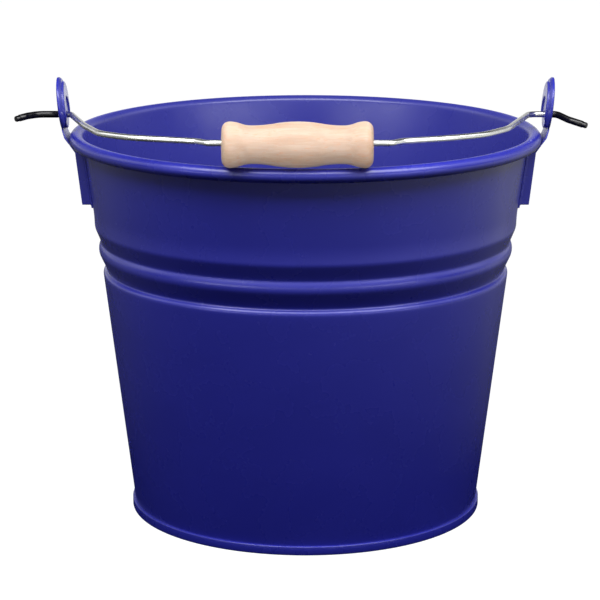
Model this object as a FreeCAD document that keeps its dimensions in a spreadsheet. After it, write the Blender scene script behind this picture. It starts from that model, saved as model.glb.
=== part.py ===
"""Small painted steel pail with a wire bail and a turned wooden grip.

The pail stands on its foot ring with its axis on Z, so the origin is the middle of the foot. X runs from ear
to ear and -Y is the side that the bail is folded down to. All sizes are in millimetres.
"""
import FreeCAD
import Part
import Sketcher
import math
import os

Vector = FreeCAD.Vector
Rotation = FreeCAD.Rotation
Placement = FreeCAD.Placement

# Driving dimensions: name, value, meaning.
DRIVING = [
    ("rim_radius", 110.0, "outside of the rim roll"),
    ("rim_height", 181.5, "top of the rim roll above the floor"),
    ("roll_radius", 3.15, "outer radius of the rolled edge"),
    ("sheet", 0.6, "steel sheet of the wall and the base"),
    ("upper_taper", 7.86, "half angle of the upper wall's cone, degrees"),
    ("lower_taper", 6.894, "half angle of the lower wall's cone, degrees"),
    ("roll_end", 45.0, "angle left open under the roll, degrees"),
    ("foot_radius", 83.4, "outside of the foot seam"),
    ("seam_height", 4.2, "height of the foot seam"),
    ("seam_leg", 1.2, "folded layers outside the wall's foot"),
    ("seam_edge", 0.45, "rounding of the seam's edges"),
    ("base_recess", 4.0, "underside of the base above the floor"),
    ("flare_start", 146.2, "bottom of the upper wall's plain cone"),
    ("flare_bend", 67.4, "bend radius of the flare below that cone"),
    ("flare_tilt", 1.1, "lean of the wall at the end of the flare, degrees"),
    ("shoulder_bend", 6.08, "bend radius of the upper shoulder"),
    ("upper_flank_tilt", 22.2, "lean of the upper groove's flank, degrees"),
    ("upper_flank", 6.39, "straight part of the upper groove's flank"),
    ("groove_bend", 0.8, "bend radius at the bottom of each groove"),
    ("upper_ledge_tilt", 33.8, "slope of the ledge under the upper groove, degrees"),
    ("bead_bend", 5.79, "bend radius of the bead between the grooves"),
    ("lower_flank_tilt", 24.91, "lean of the lower groove's flank, degrees"),
    ("lower_flank", 7.11, "straight part of the lower groove's flank"),
    ("lower_ledge_tilt", 65.36, "slope of the ledge under the lower groove, degrees"),
    ("ledge_bend", 2.09, "bend radius of the ledge at the top of the lower wall"),
    ("rim_wire_radius", 2.5, "stiffening wire in the roll"),
    ("ear_sheet", 0.8, "steel sheet of the ears"),
    ("strap_bottom", 147.2, "lower end of the ear's strap"),
    ("strap_top", 171.8, "upper end of the strap, under the roll"),
    ("strap_low_depth", 4.4, "outer face of the strap's lower end from the wall's outer face, along X"),
    ("strap_top_depth", 3.85, "outer face of the strap's upper end from the wall's outer face, along X"),
    ("strap_half", 10.5, "half width of the strap"),
    ("foot_flange", 3.0, "width of each welding foot of the strap"),
    ("neck_half", 9.6, "half width of the neck"),
    ("neck_low", 3.8, "first bend of the neck above the strap"),
    ("neck_high", 6.6, "second bend of the neck above the strap"),
    ("neck_top", 10.0, "where the neck joins the head's plate, above the strap"),
    ("neck_out", 2.2, "how far the neck's second bend stands past the rim roll"),
    ("neck_angle", 51.3, "where the neck's sides meet the head's circle, degrees below level"),
    ("head_radius", 12.95, "flat part of the ear's round head"),
    ("head_height", 192.7, "centre of the head above the floor"),
    ("bead_radius", 1.15, "bead round the head"),
    ("bead_stand", 0.15, "how far the bead stands out past the flat part"),
    ("bead_sweep", 270.0, "angle of the bead round the head, open at the neck"),
    ("head_lean", 6.0, "outward lean of the head, degrees"),
    ("boss_radius", 10.9, "raised boss on the pail side of the head"),
    ("boss_face", 110.8, "boss face at the height of the pivot, from the pail's axis"),
    ("boss_rise", 3.2, "boss face in from the outer face of the head's plate"),
    ("recess_radius", 8.8, "shallow recess round the wire hole"),
    ("recess_depth", 0.7, "depth of that recess"),
    ("pivot_height", 188.3, "axis of the wire holes above the floor"),
    ("wire_radius", 1.4, "galvanised bail wire"),
    ("hole_clearance", 0.3, "radial clearance of the wire in an ear"),
    ("bail_shift", -2.35, "sideways float of the bail in its ears"),
    ("bail_reach", 104.27, "pivot axis to the straight middle of the wire"),
    ("bail_rise", 2.116, "angle of the folded bail above level, degrees"),
    ("sleeve_radius", 1.6, "outside of the end sleeves"),
    ("sleeve_bare", 2.2, "bare wire past a sleeve"),
    ("grip_half", 32.3, "half length of the grip"),
    ("grip_flare", 9.9, "radius at the grip's ends"),
    ("grip_flare_at", 28.9, "flare from the grip's middle"),
    ("grip_waist", 8.2, "radius at the grip's waists"),
    ("grip_waist_at", 19.6, "waist from the grip's middle"),
    ("grip_belly", 9.85, "radius at the grip's middle"),
    ("grip_edge", 3.4, "rounding of the grip's ends"),
    ("grip_bore", 2.2, "bore through the grip"),
    ("grip_drop", 0.65, "how far the loose grip hangs below the wire's centre line"),
    ("grip_shift", -1.05, "the grip's place along the straight wire"),
]


# How far a cutting outline runs past the face that it opens, and a cutting cone past the strap.
CLEAR = 1.0
SPARE = 5.0


class Size:
    """A number together with the spreadsheet expression that gives it."""

    def __init__(self, value, text):
        self.value = value
        self.text = text

    def join(self, other, sign, value):
        return Size(value, f"({self.text} {sign} {as_size(other).text})")

    def __add__(self, other):
        return self.join(other, "+", self.value + as_size(other).value)

    def __sub__(self, other):
        return self.join(other, "-", self.value - as_size(other).value)

    def __mul__(self, other):
        return self.join(other, "*", self.value * as_size(other).value)

    def __truediv__(self, other):
        return self.join(other, "/", self.value / as_size(other).value)

    def __neg__(self):
        return Size(-self.value, f"(0 - {self.text})")


def as_size(number):
    """Plain numbers join in with sizes."""
    return number if isinstance(number, Size) else Size(float(number), repr(float(number)))


def sine(angle):
    return Size(math.sin(math.radians(angle.value)), f"sin({angle.text} * 1 deg)")


def cosine(angle):
    return Size(math.cos(math.radians(angle.value)), f"cos({angle.text} * 1 deg)")


def tangent(angle):
    return sine(angle) / cosine(angle)


def dimension_sheet(doc):
    """The driving dimensions as aliased cells; returns them as sizes by name."""
    sheet = doc.addObject("Spreadsheet::Sheet", "dims")
    sizes = {}
    for row, (name, value, meaning) in enumerate(DRIVING, start=1):
        sheet.set(f"A{row}", meaning)
        sheet.set(f"B{row}", str(value))
        sheet.setAlias(f"B{row}", name)
        sizes[name] = Size(value, f"dims.{name}")
    doc.recompute()
    return sizes


doc = FreeCAD.newDocument("pail")
dim = dimension_sheet(doc)

# The roll's centre, and the upper wall that runs into it at a tangent.
roll_radius_at = dim["rim_radius"] - dim["roll_radius"]
roll_height_at = dim["rim_height"] - dim["roll_radius"]
roll_hollow = dim["roll_radius"] - dim["sheet"]
upper_slope = tangent(dim["upper_taper"])
wall_base = (
    roll_radius_at
    - cosine(dim["upper_taper"]) * roll_hollow
    - upper_slope * (roll_height_at + sine(dim["upper_taper"]) * roll_hollow)
)


def upper_wall(height):
    """Outer radius of the plain upper wall at a height."""
    return wall_base + upper_slope * height


def bind(target, prop, size):
    """Give a property its value by an expression on the dimension sheet."""
    target.setExpression(prop, as_size(size).text)


def pin(sketch, geometry, end, along, size):
    """Hold one coordinate of a point at its distance from the sketch's origin."""
    kind, axis = ("DistanceX", -2) if along == "x" else ("DistanceY", -1)
    if abs(size.value) < 1e-9:
        sketch.addConstraint(Sketcher.Constraint("PointOnObject", geometry, end, axis))
        return
    if size.value > 0:
        constraint = Sketcher.Constraint(kind, -1, 1, geometry, end, size.value)
        held = size
    else:
        constraint = Sketcher.Constraint(kind, geometry, end, -1, 1, -size.value)
        held = -size
    index = sketch.addConstraint(constraint)
    sketch.setExpression(f"Constraints[{index}]", held.text)


def arc_between(start, finish, radius, side):
    """The short arc between two points; side 1 has its centre on the left of the way."""
    chord = finish - start
    half = chord.Length / 2
    height = math.sqrt(max(radius * radius - half * half, 0.0))
    left = Vector(-chord.y, chord.x, 0).normalize()
    centre = start + chord * 0.5 + left * (side * height)
    middle = centre - left * (side * radius)
    return Part.Arc(start, middle, finish)


def draw(sketch, steps):
    """Draw a closed outline. Each step ends at its point, by a line or by an arc of a radius and side."""
    points = [Vector(as_size(s[0]).value, as_size(s[1]).value, 0) for s in steps]
    for index, step in enumerate(steps):
        start, finish = points[index - 1], points[index]
        if len(step) == 2:
            sketch.addGeometry(Part.LineSegment(start, finish), False)
        else:
            sketch.addGeometry(arc_between(start, finish, as_size(step[2]).value, step[3]), False)
    ends = [(1, 2)] * len(steps)
    for index, step in enumerate(steps):
        if len(step) > 2:
            # an arc runs anticlockwise, so one with its centre on the right of the way starts at its far end
            ends[index] = (1, 2) if step[3] > 0 else (2, 1)
    for index, step in enumerate(steps):
        following = (index + 1) % len(steps)
        sketch.addConstraint(
            Sketcher.Constraint("Coincident", index, ends[index][1], following, ends[following][0])
        )
        pin(sketch, index, ends[index][1], "x", as_size(step[0]))
        pin(sketch, index, ends[index][1], "y", as_size(step[1]))
        if len(step) > 2:
            held = sketch.addConstraint(Sketcher.Constraint("Radius", index, as_size(step[2]).value))
            sketch.setExpression(f"Constraints[{held}]", as_size(step[2]).text)


def origin_plane(body, role):
    return next(item for item in body.Origin.OriginFeatures if item.Role == role)


def revolved_body(label, steps, axis):
    """A PartDesign body turned from an outline drawn on its own XZ plane."""
    body = doc.addObject("PartDesign::Body", label)
    body.Label = label
    sketch = body.newObject("Sketcher::SketchObject", label + "_outline")
    sketch.AttachmentSupport = [(origin_plane(body, "XZ_Plane"), "")]
    sketch.MapMode = "FlatFace"
    draw(sketch, steps)
    turn = body.newObject("PartDesign::Revolution", label + "_turn")
    turn.Profile = sketch
    turn.ReferenceAxis = (sketch, [axis])
    turn.Angle = 360.0
    doc.recompute()
    return body


def on_roll(radius, angle):
    """A point at an angle (degrees, from outward, anticlockwise) round the roll's centre."""
    return (roll_radius_at + cosine(angle) * radius, roll_height_at + sine(angle) * radius)


def formed_faces(place, tilt, forms):
    """The wall's outer and inner faces from a point of the outer face downwards, as steps of an outline.

    A tilt is the slope of the face's outward normal above level, in degrees. Each form is a straight
    run, then a tangent bend: its length, the bend's radius on the outer face, the new tilt, and 1 for a
    bend that bulges outwards or -1 for one that turns inwards.
    """
    sheet = dim["sheet"]

    def behind(point, slope):
        return (point[0] - cosine(slope) * sheet, point[1] - sine(slope) * sheet)

    outer = [place]
    inner = [behind(place, tilt)]
    for run, bend, new_tilt, bulge in forms:
        place = (place[0] + sine(tilt) * run, place[1] - cosine(tilt) * run)
        if run.value > 0:
            outer.append(place)
            inner.append(behind(place, tilt))
        swing = bend * bulge
        place = (
            place[0] + (cosine(new_tilt) - cosine(tilt)) * swing,
            place[1] + (sine(new_tilt) - sine(tilt)) * swing,
        )
        tilt = new_tilt
        outer.append((*place, bend, -bulge))
        inner.append((*behind(place, tilt), bend - sheet * bulge, -bulge))
    return outer, inner


def turned_back(steps):
    """The same steps followed the other way, from the last point to the first."""
    backward = [steps[-1][:2]]
    for index in range(len(steps) - 1, 0, -1):
        point, arc = steps[index - 1][:2], steps[index][2:]
        backward.append((*point, arc[0], -arc[1]) if arc else point)
    return backward


def pail_wall():
    """One sheet: foot, lower wall, two grooves with a bead between them, upper wall and curled rim."""
    foot = dim["foot_radius"] - dim["seam_leg"]
    roll_tip = dim["roll_end"] - 180
    meets_roll = as_size(180) - dim["upper_taper"]
    no_run = as_size(0)
    outer, inner = formed_faces(
        (upper_wall(dim["flare_start"]), dim["flare_start"]),
        -dim["upper_taper"],
        [
            (no_run, dim["flare_bend"], -dim["flare_tilt"], -1),
            (no_run, dim["shoulder_bend"], -dim["upper_flank_tilt"], 1),
            (dim["upper_flank"], dim["groove_bend"], dim["upper_ledge_tilt"], -1),
            (no_run, dim["bead_bend"], -dim["lower_flank_tilt"], 1),
            (dim["lower_flank"], dim["groove_bend"], dim["lower_ledge_tilt"], -1),
            (no_run, dim["ledge_bend"], -dim["lower_taper"], 1),
        ],
    )
    ledge_radius, ledge_height = outer[-1][:2]
    foot_top = ledge_height - (ledge_radius - foot) / tangent(dim["lower_taper"])
    roll = [
        on_roll(roll_hollow, meets_roll),
        (*on_roll(roll_hollow, as_size(0)), roll_hollow, -1),
        (*on_roll(roll_hollow, roll_tip), roll_hollow, -1),
        on_roll(dim["roll_radius"], roll_tip),
        (*on_roll(dim["roll_radius"], as_size(0)), dim["roll_radius"], 1),
        (*on_roll(dim["roll_radius"], meets_roll), dim["roll_radius"], 1),
    ]
    foot_hem = [
        (foot - dim["sheet"], foot_top),
        (foot - dim["sheet"], dim["sheet"]),
        (foot, dim["sheet"]),
        (foot, foot_top),
    ]
    return revolved_body("pail_wall", turned_back(outer) + roll + inner + foot_hem, "V_Axis")


def base_pan():
    """The base disc, its leg down to the floor, and its edge folded up round the wall's foot."""
    sheet = dim["sheet"]
    foot_outer = dim["foot_radius"] - dim["seam_leg"]
    foot_inner = foot_outer - sheet
    leg_inner = foot_inner - sheet
    edge = dim["seam_edge"]
    steps = [
        (as_size(0), dim["base_recess"]),
        (leg_inner, dim["base_recess"]),
        (leg_inner, as_size(0)),
        (dim["foot_radius"] - edge, as_size(0)),
        (dim["foot_radius"], edge, edge, 1),
        (dim["foot_radius"], dim["seam_height"] - edge),
        (dim["foot_radius"] - edge, dim["seam_height"], edge, 1),
        (foot_outer, dim["seam_height"]),
        (foot_outer, sheet),
        (foot_inner, sheet),
        (foot_inner, dim["base_recess"] + sheet),
        (as_size(0), dim["base_recess"] + sheet),
    ]
    return revolved_body("base_pan", steps, "V_Axis")


def rim_wire():
    """The stiffening wire that the rim is curled round."""
    ring = doc.addObject("Part::Torus", "rim_wire")
    ring.Label = "rim_wire"
    bind(ring, "Radius1", roll_radius_at)
    bind(ring, "Radius2", dim["rim_wire_radius"])
    bind(ring, "Placement.Base.z", roll_height_at)
    return ring


def grip():
    """The turned grip: rounded ends, flares, waists and a belly of tangent arcs, with a through bore."""

    def s_bend(near_at, near, far_at, far):
        """The middle and end of two equal arcs that join two level points, and the arcs' radius."""
        run = near_at - far_at
        rise = far - near
        size = Size(abs(rise.value), rise.text if rise.value > 0 else (-rise).text)
        radius = (run * run + size * size) / (size * 4)
        return (near_at + far_at) / 2, (near + far) / 2, radius

    half, edge, bore = dim["grip_half"], dim["grip_edge"], dim["grip_bore"]
    flare_at, flare = dim["grip_flare_at"], dim["grip_flare"]
    waist_at, waist = dim["grip_waist_at"], dim["grip_waist"]
    belly_at, belly = as_size(0), dim["grip_belly"]
    neck_at, neck, neck_bend = s_bend(flare_at, flare, waist_at, waist)
    body_at, body, body_bend = s_bend(waist_at, waist, belly_at, belly)
    steps = [
        (-half, bore),
        (half, bore),
        (half, flare - edge),
        (flare_at, flare, edge, 1),
        (neck_at, neck, neck_bend, 1),
        (waist_at, waist, neck_bend, -1),
        (body_at, body, body_bend, -1),
        (belly_at, belly, body_bend, 1),
        (-body_at, body, body_bend, 1),
        (-waist_at, waist, body_bend, -1),
        (-neck_at, neck, neck_bend, -1),
        (-flare_at, flare, neck_bend, 1),
        (-half, flare - edge, edge, 1),
    ]
    turned = revolved_body("grip", steps, "H_Axis")
    bind(turned, "Placement.Base.x", dim["bail_shift"] + dim["grip_shift"])
    bind(turned, "Placement.Base.y", -(dim["bail_reach"] * cosine(dim["bail_rise"])))
    wire_height = dim["pivot_height"] + dim["bail_reach"] * sine(dim["bail_rise"])
    bind(turned, "Placement.Base.z", wire_height - dim["grip_drop"])
    return turned


XZ = Rotation(Vector(1, 0, 0), 90)
YZ = Rotation(Vector(1, 1, 1), 120)


def loose_sketch(name, rotation, steps):
    """A sketch of its own in the XZ plane or, turned, in the YZ plane."""
    sketch = doc.addObject("Sketcher::SketchObject", name)
    sketch.Placement = Placement(Vector(0, 0, 0), rotation)
    draw(sketch, steps)
    return sketch


def extruded(name, rotation, steps, length):
    """An outline pulled both ways along its sketch's normal, to a length in all."""
    sketch = loose_sketch(name + "_outline", rotation, steps)
    block = doc.addObject("Part::Extrusion", name)
    block.Base = sketch
    block.DirMode = "Normal"
    block.Solid = True
    block.Symmetric = True
    bind(block, "LengthFwd", length)
    return block


def turned_about(name, steps, centre_x, centre_z, lean, sweep=360.0):
    """An outline drawn in the XZ plane, with the turning axis along X, leaned and moved to a centre."""
    sketch = loose_sketch(name + "_outline", XZ, steps)
    ring = doc.addObject("Part::Revolution", name)
    ring.Source = sketch
    ring.Axis = Vector(1, 0, 0)
    ring.Base = Vector(0, 0, 0)
    ring.Angle = sweep
    ring.Symmetric = sweep < 360.0
    ring.Solid = True
    leaned = Rotation(Vector(0, 1, 0), lean.value)
    ring.Placement = Placement(Vector(centre_x.value, 0, centre_z.value), leaned)
    bind(ring, "Placement.Base.x", centre_x)
    bind(ring, "Placement.Base.z", centre_z)
    return ring


def joined(kind, name, *shapes):
    """A boolean: Part::MultiFuse of all, or Part::Cut and Part::Common of two."""
    result = doc.addObject(kind, name)
    if kind == "Part::MultiFuse":
        result.Shapes = list(shapes)
    else:
        result.Base, result.Tool = shapes
    return result


def wall_cone(name, offset):
    """A solid cone as wide as the wall's outer face, and offset beyond it, over the strap's heights."""
    bottom = dim["strap_bottom"] - SPARE
    height = dim["strap_top"] + SPARE * 2 - bottom
    cone = doc.addObject("Part::Cone", name)
    bind(cone, "Radius1", upper_wall(bottom) + offset)
    bind(cone, "Radius2", upper_wall(bottom + height) + offset)
    bind(cone, "Height", height)
    bind(cone, "Placement.Base.z", bottom)
    return cone


def ear(label, turn):
    """One pressed ear: hat-section strap, neck round the rim roll, beaded head, boss, recess and hole."""
    sheet = dim["ear_sheet"]
    low, top = dim["strap_bottom"], dim["strap_top"]
    half, head, neck = dim["strap_half"], dim["head_radius"], dim["neck_half"]
    lean_slope = tangent(dim["head_lean"])

    def strap_face(height):
        share = (height - low) / (top - low)
        depth = dim["strap_low_depth"] + (dim["strap_top_depth"] - dim["strap_low_depth"]) * share
        return upper_wall(height) + depth

    def head_face(height):
        return dim["boss_face"] + dim["boss_rise"] + (height - dim["pivot_height"]) * lean_slope

    crown = dim["head_height"] + head
    bend_low = top + dim["neck_low"]
    bend_high = top + dim["neck_high"]
    head_low = top + dim["neck_top"]
    path = [
        (strap_face(low), low),
        (strap_face(top), top),
        (dim["rim_radius"], bend_low),
        (dim["rim_radius"] + dim["neck_out"], bend_high),
        (head_face(head_low), head_low),
        (head_face(crown), crown),
    ]
    thinner = [(x - sheet, z) for x, z in reversed(path)]
    side = extruded(label + "_side", XZ, path + thinner, head * 2)
    shoulder_half = head * cosine(dim["neck_angle"])
    shoulder = dim["head_height"] - head * sine(dim["neck_angle"])
    front = extruded(
        label + "_front",
        YZ,
        [
            (-half, low),
            (half, low),
            (half, top),
            (neck, bend_high),
            (shoulder_half, shoulder),
            (head, dim["head_height"], head, 1),
            (as_size(0), crown, head, 1),
            (-head, dim["head_height"], head, 1),
            (-shoulder_half, shoulder, head, 1),
            (-neck, bend_high),
            (-half, top),
        ],
        crown * 2,
    )
    plate = joined("Part::Common", label + "_plate", side, front)

    inner_x = upper_wall(low) - SPARE
    channel = [
        (inner_x, low),
        (strap_face(low), low),
        (strap_face(top), top),
        (inner_x, top),
    ]
    cavity = [
        (inner_x - CLEAR, low - CLEAR),
        (strap_face(low - CLEAR) - sheet, low - CLEAR),
        (strap_face(top + CLEAR) - sheet, top + CLEAR),
        (inner_x - CLEAR, top + CLEAR),
    ]
    solid_strap = extruded(label + "_strap", XZ, channel, half * 2)
    hollow = extruded(label + "_hollow", XZ, cavity, (half - sheet) * 2)
    flanges = joined("Part::Cut", label + "_flanges", solid_strap, hollow)

    skin = wall_cone(label + "_skin", sheet)
    shell = joined("Part::Cut", label + "_shell", skin, wall_cone(label + "_wall", 0))
    foot_half = half + dim["foot_flange"]
    foot_block = doc.addObject("Part::Box", label + "_foot_block")
    bind(foot_block, "Length", upper_wall(top) - inner_x + SPARE)
    bind(foot_block, "Width", foot_half * 2)
    bind(foot_block, "Height", top - low + CLEAR)
    bind(foot_block, "Placement.Base.x", inner_x)
    bind(foot_block, "Placement.Base.y", -foot_half)
    bind(foot_block, "Placement.Base.z", low - CLEAR)
    feet_full = joined("Part::Common", label + "_feet_full", shell, foot_block)
    feet = joined("Part::Cut", label + "_feet", feet_full, hollow)

    # The bead round the head, open at the neck; it stands a little out of the plate all round.
    bead = dim["bead_radius"]
    ring_at = head - bead + dim["bead_stand"]
    head_x = head_face(dim["head_height"]) - bead + dim["bead_stand"]
    bead_ring = turned_about(
        label + "_bead",
        [
            (-bead, ring_at),
            (as_size(0), ring_at - bead, bead, 1),
            (bead, ring_at, bead, 1),
            (as_size(0), ring_at + bead, bead, 1),
        ],
        head_x,
        dim["head_height"],
        dim["head_lean"],
        dim["bead_sweep"].value,
    )

    # The boss towards the pail, with a softened edge, and the recess round the hole.
    boss, recess, rise = dim["boss_radius"], dim["recess_radius"], dim["boss_rise"]
    boss_disc = turned_about(
        label + "_boss",
        [
            (as_size(0), as_size(0)),
            (-rise, as_size(0)),
            (-rise, boss - sheet),
            (-rise + sheet, boss, sheet, -1),
            (as_size(0), boss),
        ],
        head_face(dim["head_height"]),
        dim["head_height"],
        dim["head_lean"],
    )
    dish = turned_about(
        label + "_dish",
        [
            (dim["recess_depth"], as_size(0)),
            (dim["recess_depth"], recess - dim["recess_depth"]),
            (-dim["recess_depth"], recess + dim["recess_depth"]),
            (-dim["recess_depth"], as_size(0)),
        ],
        dim["boss_face"],
        dim["pivot_height"],
        dim["head_lean"],
    )
    # The pressing is hollow behind its boss, so the outer face is dished as well.
    back = turned_about(
        label + "_back",
        [
            (-sheet, as_size(0)),
            (-sheet, boss - sheet * 2),
            (as_size(CLEAR), boss - sheet),
            (as_size(CLEAR), as_size(0)),
        ],
        head_face(dim["head_height"]),
        dim["head_height"],
        dim["head_lean"],
    )
    hole = doc.addObject("Part::Cylinder", label + "_hole")
    bind(hole, "Radius", dim["wire_radius"] + dim["hole_clearance"])
    bind(hole, "Height", dim["boss_rise"] + SPARE * 2)
    hole.Placement = Placement(Vector(0, 0, 0), Rotation(Vector(0, 1, 0), 90))
    bind(hole, "Placement.Base.x", dim["boss_face"] - SPARE)
    bind(hole, "Placement.Base.z", dim["pivot_height"])

    pressed = joined("Part::MultiFuse", label + "_pressed", plate, flanges, feet, bead_ring, boss_disc)
    fitted = joined("Part::Cut", label + "_fitted", pressed, wall_cone(label + "_fit", 0))
    dished = joined("Part::Cut", label + "_dished", fitted, dish)
    thinned = joined("Part::Cut", label + "_thinned", dished, back)
    finished = joined("Part::Cut", label, thinned, hole)
    finished.Label = label
    finished.Placement = Placement(Vector(0, 0, 0), Rotation(Vector(0, 0, 1), turn))
    return finished


def bail_point(across, reach, lift):
    """A point of the bail: along its pivot axis, out towards the grip, and off its own plane."""
    rise = math.radians(dim["bail_rise"].value)
    return Vector(
        dim["bail_shift"].value + across,
        -reach * math.cos(rise) + lift * math.sin(rise),
        dim["pivot_height"].value + reach * math.sin(rise) + lift * math.cos(rise),
    )


def bent(points, radii):
    """Straight runs joined by tangent arcs: one radius for each point between the first and the last."""
    edges = []
    here = points[0]
    for index, radius in enumerate(radii, start=1):
        corner = points[index]
        back = (points[index - 1] - corner).normalize()
        ahead = (points[index + 1] - corner).normalize()
        half_turn = (math.pi - back.getAngle(ahead)) / 2
        reach = radius * math.tan(half_turn)
        begin = corner + back * reach
        finish = corner + ahead * reach
        inward = (back + ahead).normalize()
        middle = corner + inward * (radius / math.cos(half_turn) - radius)
        edges.append(Part.LineSegment(here, begin).toShape())
        edges.append(Part.Arc(begin, middle, finish).toShape())
        here = finish
    edges.append(Part.LineSegment(here, points[-1]).toShape())
    return edges


# The bail's route from its middle to each end (across, reach, lift), with the bend radius at each point.
# It is bent by hand, so its two arms and its two hooked tails differ a little.
REACH = dim["bail_reach"].value
ARMS = {
    "left": [
        ((-39.5, REACH, 0.0), 3.6),
        ((-44.3, 98.6, 0.0), 3.6),
        ((-74.5, 85.7, 0.0), 45.0),
        ((-88.2, 71.8, 0.0), 22.0),
        ((-96.8, 44.9, 0.0), 120.0),
        ((-107.25, 0.0, 0.0), 3.6),
    ],
    "right": [
        ((39.3, REACH, 0.0), 3.6),
        ((43.9, 98.0, 0.0), 3.6),
        ((64.0, 88.5, 0.0), 60.0),
        ((80.5, 76.6, 0.0), 35.0),
        ((92.3, 55.8, 0.0), 45.0),
        ((106.6, 0.0, 0.0), 5.0),
    ],
}
TAILS = {
    "left": [((-122.45, 0.0, 0.0), 9.0), ((-127.45, 3.6, -0.4), 9.0), ((-132.25, 8.3, -1.3), None)],
    "right": [((119.75, 0.0, 0.0), 5.0), ((124.85, 3.6, -2.1), 16.0), ((132.95, 9.0, -4.3), None)],
}
SLEEVE_STARTS = {"left": -113.05, "right": 117.55}


def swept(label, edges, radius):
    """A round bar along a path of edges, its radius bound to the sheet."""
    spine = doc.addObject("Part::Feature", label + "_path")
    spine.Shape = Part.Wire(edges)
    section = doc.addObject("Part::Circle", label + "_section")
    bind(section, "Radius", radius)
    first = edges[0]
    start = first.valueAt(first.FirstParameter)
    along = first.tangentAt(first.FirstParameter)
    section.Placement = Placement(start, Rotation(Vector(0, 0, 1), along))
    bar = doc.addObject("Part::Sweep", label)
    bar.Sections = [section]
    bar.Spine = (spine, [f"Edge{n}" for n in range(1, len(edges) + 1)])
    bar.Solid = True
    bar.Frenet = False
    bar.Transition = "Right corner"
    return bar


def bail_wire():
    """The whole bail from the left tail's tip to the right tail's tip."""
    route = list(reversed(ARMS["left"] + TAILS["left"])) + ARMS["right"] + TAILS["right"]
    points = [bail_point(*place) for place, radius in route]
    radii = [radius for place, radius in route[1:-1]]
    bar = swept("bail_wire", bent(points, radii), dim["wire_radius"])
    bar.Label = "bail_wire"
    return bar


def sleeve(side):
    """A thin tube on one tail: a bar along the tail's own bends, less the wire inside it."""
    route = TAILS[side]
    start = bail_point(SLEEVE_STARTS[side], 0.0, 0.0)
    points = [start] + [bail_point(*place) for place, radius in route]
    last_run = points[-1] - points[-2]
    points[-1] = points[-1] - last_run.normalize() * dim["sleeve_bare"].value
    radii = [radius for place, radius in route[:-1]]
    label = "sleeve_" + side
    skin = swept(label + "_skin", bent(points, radii), dim["sleeve_radius"])
    core = swept(label + "_core", bent(points, radii), dim["wire_radius"])
    tube = joined("Part::Cut", label, skin, core)
    tube.Label = label
    return tube


def write(nodes):
    """Stop at any failed object or bad shape; otherwise write each node's solid."""
    doc.recompute()
    for item in doc.Objects:
        if "Invalid" in item.State or "Error" in item.State:
            raise SystemExit(f"{item.Label} failed: {item.State}")
    os.makedirs("parts", exist_ok=True)
    for node in nodes:
        shape = node.Shape
        if shape.isNull() or not shape.isValid() or not shape.Solids:
            raise SystemExit(f"{node.Label} has no valid solid")
        shape.exportStep(f"parts/{node.Label}.step")
        print(f"{node.Label}: {len(shape.Solids)} solid(s), {shape.Volume:.1f} mm3")


def main():
    nodes = [
        pail_wall(),
        base_pan(),
        rim_wire(),
        ear("ear_left", 180.0),
        ear("ear_right", 0.0),
        bail_wire(),
        grip(),
        sleeve("left"),
        sleeve("right"),
    ]
    write(nodes)


main()
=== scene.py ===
"""The look of a small painted steel pail with a galvanised wire bail and a turned beech grip."""
import math

import bpy
import bmesh
from mathutils import Matrix, Vector, noise


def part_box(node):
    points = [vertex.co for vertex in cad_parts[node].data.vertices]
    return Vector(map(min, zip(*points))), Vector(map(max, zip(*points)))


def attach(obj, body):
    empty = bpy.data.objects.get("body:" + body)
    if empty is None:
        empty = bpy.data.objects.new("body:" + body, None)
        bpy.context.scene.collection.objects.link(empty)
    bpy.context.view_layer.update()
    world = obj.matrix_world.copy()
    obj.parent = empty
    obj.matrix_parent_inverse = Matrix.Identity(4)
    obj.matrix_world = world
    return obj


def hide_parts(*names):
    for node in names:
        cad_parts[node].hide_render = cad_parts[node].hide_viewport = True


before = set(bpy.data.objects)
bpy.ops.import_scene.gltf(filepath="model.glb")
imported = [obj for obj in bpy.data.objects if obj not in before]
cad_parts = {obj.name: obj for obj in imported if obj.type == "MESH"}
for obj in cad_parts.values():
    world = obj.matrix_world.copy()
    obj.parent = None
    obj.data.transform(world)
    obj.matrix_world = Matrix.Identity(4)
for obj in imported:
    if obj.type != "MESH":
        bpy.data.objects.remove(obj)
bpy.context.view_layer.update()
MM = 0.001

# ---------------------------------------------------------------- sizes, in millimetres and degrees
wall_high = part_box("pail_wall")[1]
grip_low, grip_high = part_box("grip")

# The wall and its curled rim. The tapers are the tilts of its two cones, above and below the grooves; the
# flare ends the upper cone.
RIM_RADIUS = 110.0
RIM_HEIGHT = wall_high.z / MM
ROLL = 3.15
SHEET = 0.6
UPPER_TAPER = 7.86
LOWER_TAPER = 6.894
FLARE_START = 146.2
ROLL_CENTRE = (RIM_RADIUS - ROLL, RIM_HEIGHT - ROLL)
ROLL_HOLLOW = ROLL - SHEET

# The foot: the wall's own outer radius there, the seam round it, and the underside of the base.
FOOT_WALL = 82.2
FOOT_RADIUS = 83.4
SEAM_HEIGHT = 4.2
BASE_UNDER = 4.0

# The bail: the radii of the wire and the sleeves, the bare length at each tip, how far the bail sits to the
# right, and how far and how steeply it reaches out from its pivots when folded forward.
PIVOT_HEIGHT = 188.3
WIRE = 1.4
SLEEVE = 1.6
SLEEVE_BARE = 2.2
BAIL_SHIFT = -2.35
BAIL_REACH = 104.27
BAIL_RISE = math.radians(2.116)

GRIP_CENTRE = (grip_low + grip_high) / 2 / MM
GRIP_HALF = (grip_high.x - grip_low.x) / 2 / MM

# How finely the round pieces are divided, and the sharpest turn that is shaded smooth.
PAIL_SIDES = 320
GRIP_SIDES = 160
WIRE_SIDES = 40
BEND_STEP = math.radians(4)
SMOOTH_TURN = math.radians(40)

FLOOR_HALF = 9000.0
WHITE = (1, 1, 1, 1)


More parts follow.
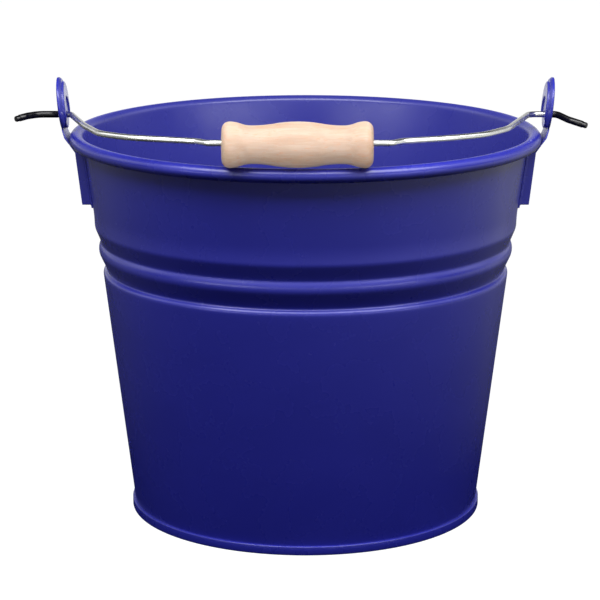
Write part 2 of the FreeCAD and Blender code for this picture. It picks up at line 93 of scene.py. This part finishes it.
# ---------------------------------------------------------------- outlines and meshes
def arc_points(start, finish, radius, side, step):
    """Points along the short arc between two places, without the first; side 1 is centred on the left."""
    (x0, y0), (x1, y1) = start, finish
    chord = math.hypot(x1 - x0, y1 - y0)
    half = chord / 2
    height = math.sqrt(max(radius * radius - half * half, 0.0))
    left = (-(y1 - y0) / chord, (x1 - x0) / chord)
    cx = (x0 + x1) / 2 + side * height * left[0]
    cy = (y0 + y1) / 2 + side * height * left[1]
    first = math.atan2(y0 - cy, x0 - cx)
    last = math.atan2(y1 - cy, x1 - cx)
    turn = (last - first) * side % (2 * math.pi) * side
    count = max(2, math.ceil(abs(turn) * radius / step))
    angles = [first + turn * i / count for i in range(1, count + 1)]
    return [(cx + radius * math.cos(a), cy + radius * math.sin(a)) for a in angles]


def outline(steps, step):
    """A closed outline, sampled. A step (x, y) is a line to there, and (x, y, radius, side) an arc."""
    points = []
    for index, item in enumerate(steps):
        start, finish = steps[index - 1][:2], item[:2]
        if len(item) == 2:
            length = math.hypot(finish[0] - start[0], finish[1] - start[1])
            count = max(1, math.ceil(length / (step * 6)))
            points += [
                (
                    start[0] + (finish[0] - start[0]) * i / count,
                    start[1] + (finish[1] - start[1]) * i / count,
                )
                for i in range(1, count + 1)
            ]
        else:
            points += arc_points(start, finish, item[2], item[3], step)
    return points


def softened(points):
    """The same closed outline with its sharp turns eased."""
    after = points[1:] + points[:1]
    before = points[-1:] + points[:-1]
    return [tuple((a[k] + 2 * p[k] + b[k]) / 4 for k in (0, 1)) for a, p, b in zip(before, points, after)]


def add_mesh(name, vertices, faces, material):
    """A mesh object from millimetre vertices, shaded smooth except at its sharp turns."""
    mesh = bpy.data.meshes.new(name)
    mesh.from_pydata([Vector(v) * MM for v in vertices], [], faces)
    mesh.validate()
    work = bmesh.new()
    work.from_mesh(mesh)
    bmesh.ops.recalc_face_normals(work, faces=work.faces)
    for edge in work.edges:
        edge.smooth = len(edge.link_faces) == 2 and edge.calc_face_angle() < SMOOTH_TURN
    for face in work.faces:
        face.smooth = True
    work.to_mesh(mesh)
    work.free()
    mesh.materials.append(material)
    piece = bpy.data.objects.new(name, mesh)
    bpy.context.scene.collection.objects.link(piece)
    return piece


def lathe(name, points, material, sides, place_point):
    """A closed outline of (radius, place) turned about an axis. A point at radius 0 closes the shape there.

    place_point(radius, angle, place) gives each vertex its spot in millimetres.
    """
    vertices, rings = [], []
    for radius, place in points:
        if radius < 1e-6:
            rings.append([len(vertices)] * sides)
            vertices.append(place_point(radius, 0.0, place))
            continue
        rings.append(list(range(len(vertices), len(vertices) + sides)))
        vertices += [place_point(radius, 2 * math.pi * i / sides, place) for i in range(sides)]
    faces = []
    for index, ring in enumerate(rings):
        near = rings[index - 1]
        for i in range(sides):
            k = (i + 1) % sides
            corner = []
            for vertex in (near[i], near[k], ring[k], ring[i]):
                if vertex not in corner:
                    corner.append(vertex)
            if len(corner) > 2:
                faces.append(corner)
    return add_mesh(name, vertices, faces, material)


def upright(radius, angle, place):
    """A turned point about the pail's own axis."""
    return (radius * math.cos(angle), radius * math.sin(angle), place)


def bent(points, radii):
    """A route of straight runs joined by tangent arcs, sampled; one radius for each inner point."""
    route = [points[0]]
    for index, radius in enumerate(radii, start=1):
        corner = points[index]
        back = (points[index - 1] - corner).normalized()
        ahead = (points[index + 1] - corner).normalized()
        turn = math.pi - back.angle(ahead)
        painted_shadow_falloff = radius * math.tan(turn / 2)
        centre = corner + (back + ahead).normalized() * (radius / math.cos(turn / 2))
        begin = corner + back * painted_shadow_falloff - centre
        axis = (-back).cross(ahead).normalized()
        count = max(3, math.ceil(turn / BEND_STEP))
        route += [centre + Matrix.Rotation(turn * i / count, 3, axis) @ begin for i in range(count + 1)]
    return route + [points[-1]]


def bar(name, route, rings, material):
    """A round bar along a route, the same at both ends.

    rings gives (distance in from the nearer end, radius), from an end to where the bar has its full size.
    """
    lengths = [0.0]
    for a, b in zip(route, route[1:]):
        lengths.append(lengths[-1] + (b - a).length)
    total = lengths[-1]
    full_at, full = rings[-1]
    gap = 0.05
    inner = [s for s in lengths if full_at + gap < s < total - full_at - gap]
    places = [d for d, _ in rings] + inner + [total - d for d, _ in reversed(rings)]
    radii = [r for _, r in rings] + [full] * len(inner) + [r for _, r in reversed(rings)]
    vertices, faces = [], []
    side = None
    for place, radius in zip(places, radii):
        index = max(i for i, s in enumerate(lengths[:-1]) if s <= place + 1e-9)
        share = (place - lengths[index]) / (lengths[index + 1] - lengths[index])
        spot = route[index].lerp(route[index + 1], share)
        ahead = route[index + 1] - route[index]
        if share < 1e-6 and index > 0:
            ahead = route[index + 1] - route[index - 1]
        ahead.normalize()
        side = (side if side else Vector((0, 0, 1))).cross(ahead).cross(ahead)
        side = -side.normalized()
        other = ahead.cross(side)
        for i in range(WIRE_SIDES):
            angle = 2 * math.pi * i / WIRE_SIDES
            vertices.append(spot + (side * math.cos(angle) + other * math.sin(angle)) * radius)
    last = (len(places) - 1) * WIRE_SIDES
    for a in range(0, last, WIRE_SIDES):
        b = a + WIRE_SIDES
        for i in range(WIRE_SIDES):
            k = (i + 1) % WIRE_SIDES
            faces.append((a + i, a + k, b + k, b + i))
    faces.append(tuple(range(WIRE_SIDES)))
    faces.append(tuple(range(last, last + WIRE_SIDES)))
    return add_mesh(name, vertices, faces, material)


# ---------------------------------------------------------------- materials
class Nodes:
    """A node tree over its shader, with short calls for the nodes that the materials share."""

    def __init__(self, name):
        self.material = bpy.data.materials.new(name)
        self.material.use_nodes = True
        self.tree = self.material.node_tree
        self.shader = self.tree.nodes["Principled BSDF"]
        self.place = self.add("ShaderNodeTexCoord").outputs["Object"]

    @classmethod
    def over(cls, world):
        """The same calls on a world's tree, over its background."""
        nodes = cls.__new__(cls)
        world.use_nodes = True
        nodes.tree = world.node_tree
        nodes.shader = nodes.tree.nodes["Background"]
        return nodes

    def add(self, kind, **settings):
        """A new node with some of its settings changed."""
        node = self.tree.nodes.new(kind)
        for name, value in settings.items():
            setattr(node, name, value)
        return node

    def link(self, output, socket):
        self.tree.links.new(output, socket)

    def set(self, **values):
        """Values straight on the shader's own sockets; _ in a name stands for a space."""
        for name, value in values.items():
            self.shader.inputs[name.replace("_", " ")].default_value = value

    def scaled(self, scale):
        """Object coordinates in millimetres times a scale along each axis."""
        node = self.add("ShaderNodeMapping")
        node.inputs["Scale"].default_value = [s / MM for s in scale]
        self.link(self.place, node.inputs["Vector"])
        return node.outputs["Vector"]

    def noise(self, scale, detail=3.0, rough=0.5, distort=0.0):
        """Cloudy noise in the object's space; scale is in waves to the millimetre along each axis."""
        node = self.add("ShaderNodeTexNoise")
        node.inputs["Scale"].default_value = 1.0
        node.inputs["Detail"].default_value = detail
        node.inputs["Roughness"].default_value = rough
        node.inputs["Distortion"].default_value = distort
        self.link(self.scaled(scale), node.inputs["Vector"])
        return node.outputs["Fac"]

    def ramp(self, value, stops):
        """A value read off stops of (place, colour or grey level), with places from 0 to 1."""
        node = self.add("ShaderNodeValToRGB")
        while len(node.color_ramp.elements) < len(stops):
            node.color_ramp.elements.new(0.5)
        for element, (place, colour) in zip(node.color_ramp.elements, stops):
            element.position = place
            element.color = colour if hasattr(colour, "__len__") else (colour, colour, colour, 1)
        self.link(value, node.inputs["Fac"])
        return node.outputs["Color"]

    def math(self, kind, *values):
        """One sum on numbers or sockets."""
        node = self.add("ShaderNodeMath", operation=kind)
        for socket, value in zip(node.inputs, values):
            if isinstance(value, (int, float)):
                socket.default_value = value
            else:
                self.link(value, socket)
        return node.outputs[0]

    def times(self, *values):
        """The product of two or more numbers or sockets."""
        product = values[0]
        for value in values[1:]:
            product = self.math("MULTIPLY", product, value)
        return product

    def half_up(self, part, whole):
        """A ratio between -1 and 1, moved to lie between 0 and 1 for a ramp."""
        return self.math("MULTIPLY_ADD", self.math("DIVIDE", part, whole), 0.5, 0.5)

    def axes(self, output):
        """The three parts of a vector."""
        node = self.add("ShaderNodeSeparateXYZ")
        self.link(output, node.inputs[0])
        return node.outputs

    def mix(self, share, a, b):
        """Two colours mixed by a share of the second."""
        node = self.add("ShaderNodeMix", data_type="RGBA")
        for socket, value in ((node.inputs[0], share), (node.inputs[6], a), (node.inputs[7], b)):
            if isinstance(value, (int, float, tuple)):
                socket.default_value = value
            else:
                self.link(value, socket)
        return node.outputs[2]

    def bump(self, height, strength, distance):
        """Relief on the shader's normal, up to a distance in millimetres."""
        node = self.add("ShaderNodeBump")
        node.inputs["Strength"].default_value = strength
        node.inputs["Distance"].default_value = distance * MM
        self.link(height, node.inputs["Height"])
        self.link(node.outputs["Normal"], self.shader.inputs["Normal"])


def paint():
    """Stoved cobalt enamel: faint orange peel, uneven depth, and on the pail's inside a paler colour that is
    painted reflection.
    """
    n = Nodes("cobalt_enamel")
    drift = n.noise((0.02, 0.02, 0.035), detail=2.0)
    outer_coat = n.ramp(drift, [(0.3, (0.0200, 0.0235, 0.325, 1)), (0.7, (0.0225, 0.0260, 0.350, 1))])
    # Painted reflection: the paler, greyer blue on the inside faces stands in for the brighter sheen that
    # the inner wall shows.
    inner_painted_reflection = (0.034, 0.037, 0.29, 1)
    spot = n.axes(n.place)
    facing = n.axes(n.add("ShaderNodeTexCoord").outputs["Normal"])
    outward = n.math("ADD", n.times(spot["X"], facing["X"]), n.times(spot["Y"], facing["Y"]))
    inside = n.math("LESS_THAN", outward, -0.03)
    # The inside faces take the paler colour of painted reflection.
    n.link(n.mix(inside, outer_coat, inner_painted_reflection), n.shader.inputs["Base Color"])
    smudge = n.noise((0.05, 0.05, 0.05), detail=4.0)
    n.link(n.ramp(smudge, [(0.3, 0.24), (0.75, 0.31)]), n.shader.inputs["Roughness"])
    n.set(IOR=1.5)
    n.bump(n.noise((0.22, 0.22, 0.22), detail=1.0), 0.12, 0.05)
    return n.material


def galvanised():
    """Bright drawn wire with a cool grey bloom that varies from place to place."""
    n = Nodes("galvanised_wire")
    bloom = n.noise((0.12, 0.12, 0.12), detail=3.0, rough=0.6)
    colour = n.ramp(bloom, [(0.35, (0.72, 0.735, 0.70, 1)), (0.65, (0.86, 0.865, 0.84, 1))])
    n.link(colour, n.shader.inputs["Base Color"])
    n.link(n.ramp(bloom, [(0.3, 0.22), (0.7, 0.32)]), n.shader.inputs["Roughness"])
    n.set(Metallic=1.0)
    return n.material


def sleeve_plastic():
    """Black heat-shrunk plastic with a faint unevenness."""
    n = Nodes("black_sleeve")
    n.set(Base_Color=(0.003, 0.003, 0.004, 1), IOR=1.45)
    n.link(n.ramp(n.noise((0.6, 0.6, 0.6)), [(0.3, 0.16), (0.7, 0.28)]), n.shader.inputs["Roughness"])
    n.bump(n.noise((0.3, 0.8, 0.8)), 0.2, 0.05)
    return n.material


def beech():
    """Pale turned beech: growth rings cut lengthwise, fine fibres and short red-brown ray flecks."""
    n = Nodes("beech")
    fibre_brown = (0.30, 0.18, 0.12, 1)
    fleck_brown = (0.42, 0.20, 0.11, 1)
    board = n.ramp(
        n.noise((0.012, 0.10, 0.10), detail=3.0, distort=0.6),
        [(0.32, (0.35, 0.25, 0.18, 1)), (0.5, (0.41, 0.31, 0.24, 1)), (0.7, (0.46, 0.37, 0.30, 1))],
    )
    fibre = n.noise((0.05, 1.1, 1.1), detail=4.0, rough=0.65)
    grained = n.mix(n.ramp(fibre, [(0.42, 0.38), (0.62, 0.0)]), board, fibre_brown)
    fleck = n.noise((0.30, 1.6, 1.6), detail=2.0, rough=0.5)
    flecked = n.mix(n.ramp(fleck, [(0.60, 0.0), (0.70, 0.55)]), grained, fleck_brown)
    n.link(flecked, n.shader.inputs["Base Color"])
    n.set(Roughness=0.5, IOR=1.45)
    n.set(Subsurface_Weight=1.0, Subsurface_Radius=(1.0, 0.7, 0.5), Subsurface_Scale=0.014)
    n.bump(fibre, 0.25, 0.06)
    return n.material


PAINT = paint()
WIRE_METAL = galvanised()
BLACK = sleeve_plastic()
BEECH = beech()


# ---------------------------------------------------------------- the pail
def stands_for(piece, body, node):
    """Puts a piece on its body, in the place of a node."""
    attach(piece, body)
    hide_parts(node)


def on_roll(radius, degrees):
    """A point about the centre of the curled rim's section."""
    turn = math.radians(degrees)
    return (ROLL_CENTRE[0] + radius * math.cos(turn), ROLL_CENTRE[1] + radius * math.sin(turn))


def formed_faces(place, tilt, forms):
    """The wall's outer and inner faces downwards from a point of the outer face, as steps of an outline.

    A form is a straight run, then a tangent bend: its radius on the outer face, the face's new tilt in
    degrees, and 1 for a bend that bulges outwards or -1 for one that turns inwards.
    """

    def behind(point, slope):
        """The inner face's point behind a point of the outer face."""
        turn = math.radians(slope)
        return (point[0] - math.cos(turn) * SHEET, point[1] - math.sin(turn) * SHEET)

    outer = [place]
    inner = [behind(place, tilt)]
    for run, bend, new_tilt, bulge in forms:
        old, new = math.radians(tilt), math.radians(new_tilt)
        if run > 0:
            place = (place[0] + math.sin(old) * run, place[1] - math.cos(old) * run)
            outer.append(place)
            inner.append(behind(place, tilt))
        swing = bend * bulge
        place = (
            place[0] + (math.cos(new) - math.cos(old)) * swing,
            place[1] + (math.sin(new) - math.sin(old)) * swing,
        )
        tilt = new_tilt
        outer.append((*place, bend, -bulge))
        inner.append((*behind(place, tilt), bend - SHEET * bulge, -bulge))
    return outer, inner


def turned_back(steps):
    """The same steps followed the other way, from the last point to the first."""
    backward = [steps[-1][:2]]
    for index in range(len(steps) - 1, 0, -1):
        point, arc = steps[index - 1][:2], steps[index][2:]
        backward.append((*point, arc[0], -arc[1]) if arc else point)
    return backward


def wall():
    """The wall's sheet with its grooves, its bead and the curled rim.

    meets and tip are where on the roll, in degrees, the wall runs into it and where the sheet ends.
    """
    meets = 180 - UPPER_TAPER
    tip = 45 - 180
    roll_end = on_roll(ROLL_HOLLOW, meets)
    flare_radius = roll_end[0] - math.tan(math.radians(UPPER_TAPER)) * (roll_end[1] - FLARE_START)
    flare = (0, 67.4, -1.1, -1)
    shoulder = (0, 6.08, -22.2, 1)
    upper_groove = (6.39, 0.8, 33.8, -1)
    bead = (0, 5.79, -24.91, 1)
    lower_groove = (7.11, 0.8, 65.36, -1)
    ledge = (0, 2.09, -LOWER_TAPER, 1)
    forms = [flare, shoulder, upper_groove, bead, lower_groove, ledge]
    outer, inner = formed_faces((flare_radius, FLARE_START), -UPPER_TAPER, forms)
    ledge_radius, ledge_height = outer[-1][:2]
    foot_top = ledge_height - (ledge_radius - FOOT_WALL) / math.tan(math.radians(LOWER_TAPER))
    roll = [
        roll_end,
        (*on_roll(ROLL_HOLLOW, 0), ROLL_HOLLOW, -1),
        (*on_roll(ROLL_HOLLOW, tip), ROLL_HOLLOW, -1),
        (*on_roll(ROLL, tip), SHEET / 2, -1),
        (*on_roll(ROLL, 0), ROLL, 1),
        (*on_roll(ROLL, meets), ROLL, 1),
    ]
    foot = [
        (FOOT_WALL - SHEET, foot_top),
        (FOOT_WALL - SHEET, SHEET),
        (FOOT_WALL, SHEET),
        (FOOT_WALL, foot_top),
    ]
    steps = turned_back(outer) + roll + inner + foot
    piece = lathe("wall_enamelled", softened(outline(steps, 0.4)), PAINT, PAIL_SIDES, upright)
    stands_for(piece, "pail", "pail_wall")


def base():
    """The base, and its edge seamed round the wall's foot. The radii of its bends are named first."""
    inner = FOOT_WALL - SHEET
    leg = inner - SHEET
    edge = 0.45
    fold = 0.3
    corner = 0.8
    steps = [
        (0, BASE_UNDER),
        (leg - corner, BASE_UNDER),
        (leg, BASE_UNDER - corner, corner, -1),
        (leg, fold),
        (leg + fold, 0.0, fold, 1),
        (FOOT_RADIUS - edge, 0.0),
        (FOOT_RADIUS, edge, edge, 1),
        (FOOT_RADIUS, SEAM_HEIGHT - edge),
        (FOOT_RADIUS - edge, SEAM_HEIGHT, edge, 1),
        (FOOT_WALL, SEAM_HEIGHT),
        (FOOT_WALL, SHEET),
        (inner, SHEET),
        (inner, BASE_UNDER + SHEET + corner),
        (inner - corner, BASE_UNDER + SHEET, corner, -1),
        (0, BASE_UNDER + SHEET),
    ]
    piece = lathe("base_seamed", outline(steps, 0.3), PAINT, PAIL_SIDES, upright)
    stands_for(piece, "pail", "base_pan")


def ear(side):
    """The pressed ear: its solid with every corner eased, as a press and thick enamel leave it."""
    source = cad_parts["ear_" + side]
    piece = bpy.data.objects.new("ear_pressed_" + side, source.data.copy())
    bpy.context.scene.collection.objects.link(piece)
    piece.data.materials.clear()
    piece.data.materials.append(PAINT)
    remesh = piece.modifiers.new("even", "REMESH")
    remesh.mode = "VOXEL"
    remesh.voxel_size = 0.25 * MM
    ease = piece.modifiers.new("ease", "SMOOTH")
    ease.factor = 0.5
    ease.iterations = 4
    bpy.context.view_layer.update()
    done = bpy.data.meshes.new_from_object(piece.evaluated_get(bpy.context.evaluated_depsgraph_get()))
    piece.modifiers.clear()
    piece.data = done
    for face in done.polygons:
        face.use_smooth = True
    stands_for(piece, "pail", "ear_" + side)


# ---------------------------------------------------------------- the bail
# Its route from the middle to each end (across, reach, lift), with the bend radius at each point.
ARMS = {
    "left": [
        ((-39.5, BAIL_REACH, 0.0), 3.6),
        ((-44.3, 98.6, 0.0), 3.6),
        ((-74.5, 85.7, 0.0), 45.0),
        ((-88.2, 71.8, 0.0), 22.0),
        ((-96.8, 44.9, 0.0), 120.0),
        ((-107.25, 0.0, 0.0), 3.6),
    ],
    "right": [
        ((39.3, BAIL_REACH, 0.0), 3.6),
        ((43.9, 98.0, 0.0), 3.6),
        ((64.0, 88.5, 0.0), 60.0),
        ((80.5, 76.6, 0.0), 35.0),
        ((92.3, 55.8, 0.0), 45.0),
        ((106.6, 0.0, 0.0), 5.0),
    ],
}
TAILS = {
    "left": [((-122.45, 0.0, 0.0), 9.0), ((-127.45, 3.6, -0.4), 9.0), ((-132.25, 8.3, -1.3), None)],
    "right": [((119.75, 0.0, 0.0), 5.0), ((124.85, 3.6, -2.1), 16.0), ((132.95, 9.0, -4.3), None)],
}
SLEEVE_STARTS = {"left": -113.05, "right": 117.55}


def bail_point(across, painted_shadow_falloff, lift):
    """A point given along the bail's own directions, set where it is with the bail folded forward."""
    rise, run = math.sin(BAIL_RISE), math.cos(BAIL_RISE)
    return Vector((BAIL_SHIFT + across, lift * rise - painted_shadow_falloff * run, PIVOT_HEIGHT + painted_shadow_falloff * rise + lift * run))


def bail():
    """The wire in one length, with filed tips; the end of each tail is blackened."""
    stops = list(reversed(ARMS["left"] + TAILS["left"])) + ARMS["right"] + TAILS["right"]
    route = bent([bail_point(*p) for p, _ in stops], [r for _, r in stops[1:-1]])
    dipped = SLEEVE_BARE + 0.3
    rings = [(0.0, WIRE - 0.5), (0.15, WIRE - 0.15), (0.5, WIRE), (dipped, WIRE)]
    piece = bar("bail_drawn", route, rings, WIRE_METAL)
    piece.data.materials.append(BLACK)
    for face in piece.data.polygons:
        from_end = min((Vector(face.center) / MM - end).length for end in (route[0], route[-1]))
        face.material_index = 1 if from_end < dipped else 0
    stands_for(piece, "bail", "bail_wire")


def sleeve(side):
    """A thin tube shrunk on a tail, closed on the wire with a small lip at each end."""
    points = [bail_point(SLEEVE_STARTS[side], 0.0, 0.0)] + [bail_point(*p) for p, _ in TAILS[side]]
    last_run = (points[-1] - points[-2]).normalized()
    points[-1] = points[-1] - last_run * SLEEVE_BARE
    route = bent(points, [r for _, r in TAILS[side][:-1]])
    rings = [(0.0, WIRE - 0.05), (0.02, WIRE + 0.1), (0.15, SLEEVE)]
    piece = bar("sleeve_shrunk_" + side, route, rings, BLACK)
    stands_for(piece, "bail", "sleeve_" + side)


def grip():
    """The turned grip, a little out of true as a lathe leaves it."""
    half = GRIP_HALF
    edge = 3.4
    bore, bevel = 2.2, 0.4
    flare_at, flare = 28.9, 9.9
    waist_at, waist = 19.6, 8.2
    belly = 9.85

    def s_bend(near_at, near, far_at, far):
        """The middle of an S of two equal arcs between two level places, and the arcs' radius."""
        run, rise = near_at - far_at, abs(far - near)
        return (near_at + far_at) / 2, (near + far) / 2, (run * run + rise * rise) / (4 * rise)

    neck_at, neck, neck_bend = s_bend(flare_at, flare, waist_at, waist)
    body_at, body, body_bend = s_bend(waist_at, waist, 0, belly)
    steps = [
        (-half, bore + bevel),
        (-half + bevel, bore),
        (half - bevel, bore),
        (half, bore + bevel),
        (half, flare - edge),
        (flare_at, flare, edge, 1),
        (neck_at, neck, neck_bend, 1),
        (waist_at, waist, neck_bend, -1),
        (body_at, body, body_bend, -1),
        (0, belly, body_bend, 1),
        (-body_at, body, body_bend, 1),
        (-waist_at, waist, body_bend, -1),
        (-neck_at, neck, neck_bend, -1),
        (-flare_at, flare, neck_bend, 1),
        (-half, flare - edge, edge, 1),
    ]
    points = [(radius, place) for place, radius in outline(steps, 0.3)]

    def lengthwise(radius, angle, place):
        """A turned point about the wire; outside the bore it is faintly uneven."""
        outside = radius > bore + 2 * bevel
        where = Vector((place * 0.12, math.cos(angle) * 1.5, math.sin(angle) * 1.5))
        grown = radius + (0.06 * noise.noise(where) if outside else 0.0)
        spot = (place, grown * math.cos(angle), grown * math.sin(angle))
        return [spot[k] + GRIP_CENTRE[k] for k in range(3)]

    piece = lathe("grip_turned", points, BEECH, GRIP_SIDES, lengthwise)
    stands_for(piece, "grip", "grip")
    return piece


wall()
base()
for side in ("left", "right"):
    ear(side)
    sleeve(side)
bail()
grip_turned = grip()
rim_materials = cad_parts["rim_wire"].data.materials
rim_materials.clear()
rim_materials.append(WIRE_METAL)


# ---------------------------------------------------------------- floor, light and camera
def square(name, height, material):
    """A flat square of the stage, at a height in millimetres."""
    signs = [(-1, -1), (1, -1), (1, 1), (-1, 1)]
    corners = [(x * FLOOR_HALF, y * FLOOR_HALF, height) for x, y in signs]
    piece = add_mesh(name, corners, [(0, 1, 2, 3)], material)
    return piece


def pale_floor():
    """The white floor that the camera sees. It sends the pail no light."""
    n = Nodes("pale_floor")
    n.set(Base_Color=(0.1, 0.1, 0.1, 1), Roughness=1.0, Specular_IOR_Level=0.0)
    n.set(Emission_Color=WHITE, Emission_Strength=0.98)
    piece = square("floor", 0.0, n.material)
    piece.visible_diffuse = False
    piece.visible_glossy = False
    piece.visible_shadow = False


def dim_floor():
    """Just under the pale floor, the darker one that the pail's enamel mirrors, glowing with painted light;
    nothing else sees it.
    """
    n = Nodes("dim_floor")
    n.set(Base_Color=(0, 0, 0, 1), Roughness=1.0, Specular_IOR_Level=0.0, Emission_Color=WHITE)
    spot = n.axes(n.place)
    x, y = spot["X"], spot["Y"]
    away = n.math("SQRT", n.math("ADD", n.times(x, x), n.times(y, y)))
    # Painted shadow: the glow fades to nothing near the pail, standing in for the pail's shadow on the
    # floor; it is brighter to the right and in a thin strip straight behind.
    painted_shadow_falloff = n.ramp(away, [(0.12, 0.0), (0.30, 0.5), (0.45, 1.0), (0.6, 2.2), (1.0, 2.6)])
    side_stops = [(0.02, 0.16), (0.15, 0.14), (0.5, 0.24), (0.75, 0.34), (0.92, 0.45), (1.0, 0.45)]
    sides = n.ramp(n.half_up(x, away), side_stops)
    back = n.ramp(n.half_up(y, away), [(0.5, 1.0), (0.75, 0.7), (0.9, 0.3), (0.975, 0.3), (0.995, 2.2)])
    n.link(n.times(painted_shadow_falloff, sides, back), n.shader.inputs["Emission Strength"])
    piece = square("dim_floor", -1.0, n.material)
    piece.visible_camera = False
    piece.visible_diffuse = False


def studio():
    """A white room for the camera, and round the pail the soft panels that light it and show in it.

    A panel is the product of ramps over z (the height of a direction), side (how far it lies to the left
    or right) and behind (0 straight in front, 1 straight behind).
    """
    world = bpy.data.worlds.new("studio")
    bpy.context.scene.world = world
    world.cycles.sampling_method = "NONE"
    n = Nodes.over(world)
    x, y, z = n.axes(n.add("ShaderNodeTexCoord").outputs["Generated"])
    level = n.math("SQRT", n.math("SUBTRACT", 1.0001, n.times(z, z)))
    side = n.math("ABSOLUTE", n.math("DIVIDE", x, level))
    behind = n.half_up(y, level)

    lamps = n.times(
        n.ramp(side, [(0.0, 0.62), (0.25, 0.7), (0.47, 1.4), (0.84, 1.6), (0.98, 0.0)]),
        n.ramp(z, [(0.01, 0.0), (0.05, 1.0), (0.12, 1.0), (0.17, 0.0)]),
        n.times(n.ramp(behind, [(0.35, 1.0), (0.5, 0.0)]), 4.0),
    )
    backdrop = n.times(
        n.ramp(behind, [(0.55, 0.0), (0.8, 1.0)]),
        n.ramp(z, [(0.0, 0.9), (0.5, 0.0)]),
    )
    crest = n.times(
        n.ramp(z, [(0.15, 0.0), (0.35, 1.2), (0.7, 1.2), (0.85, 0.3)]),
        n.ramp(behind, [(0.5, 1.0), (0.75, 0.0)]),
    )
    flanks = n.times(
        n.ramp(side, [(0.8, 0.0), (0.95, 1.1)]),
        n.ramp(behind, [(0.45, 0.0), (0.6, 1.0)]),
        n.ramp(z, [(0.05, 0.0), (0.2, 1.0), (0.6, 1.0), (0.8, 0.0)]),
    )
    haze = 0.04
    total = n.math("ADD", n.math("ADD", haze, crest), n.math("ADD", lamps, backdrop))

    # Most of the room shows in the enamel only: as plain light it counts for less, but for a rear panel.
    ray = n.add("ShaderNodeLightPath").outputs
    diffuse = ray["Is Diffuse Ray"]
    fill = n.times(total, n.math("MULTIPLY_ADD", diffuse, -0.82, 1.0))
    rear = n.times(diffuse, n.ramp(behind, [(0.75, 0.0), (0.95, 0.6)]))
    lit = n.math("ADD", n.math("ADD", fill, rear), flanks)
    n.set(Color=WHITE)
    n.link(n.math("MAXIMUM", ray["Is Camera Ray"], lit), n.shader.inputs["Strength"])


def soft_box(name, place, tilt, size, energy):
    """An area light, tilted up from straight down by an angle in degrees; place and size are in metres."""
    light = bpy.data.lights.new(name, "AREA")
    light.shape = "RECTANGLE"
    light.size, light.size_y = size
    light.energy = energy
    lamp = bpy.data.objects.new(name, light)
    bpy.context.scene.collection.objects.link(lamp)
    lamp.location = place
    lamp.rotation_euler = (math.radians(tilt), 0.0, 0.0)
    lamp.visible_camera = False
    return lamp


def lights():
    """The main soft box nearly overhead, and two weak cards that lift the shadow side of the grip only."""
    soft_box("overhead", (0.03, -0.27, 0.55), 0, (0.95, 0.28), 6.6)
    wood = bpy.data.collections.new("lit_by_cards")
    wood.objects.link(grip_turned)
    cards = [
        soft_box("front_card", (0.0, -0.6, 0.12), 90, (0.3, 0.3), 3.0),
        soft_box("rear_card", (0.0, 0.6, 0.12), -90, (0.3, 0.3), 2.0),
    ]
    for card in cards:
        card.light_linking.receiver_collection = wood


def camera():
    """The camera of the resting view: in front, looking down a little."""
    down = math.radians(13.2755)
    lens = bpy.data.cameras.new("camera")
    lens.sensor_width = 36.0
    lens.lens = 145.12
    lens.shift_x = -0.0092
    lens.clip_start = 0.05
    lens.clip_end = 50.0
    eye = bpy.data.objects.new("camera", lens)
    bpy.context.scene.collection.objects.link(eye)
    eye.location = (0.0, -1.1205, 0.36345)
    eye.rotation_euler = (math.radians(90) - down, 0.0, 0.0)
    bpy.context.scene.camera = eye


pale_floor()
dim_floor()
studio()
lights()
camera()
bpy.context.scene.view_settings.view_transform = "Standard"
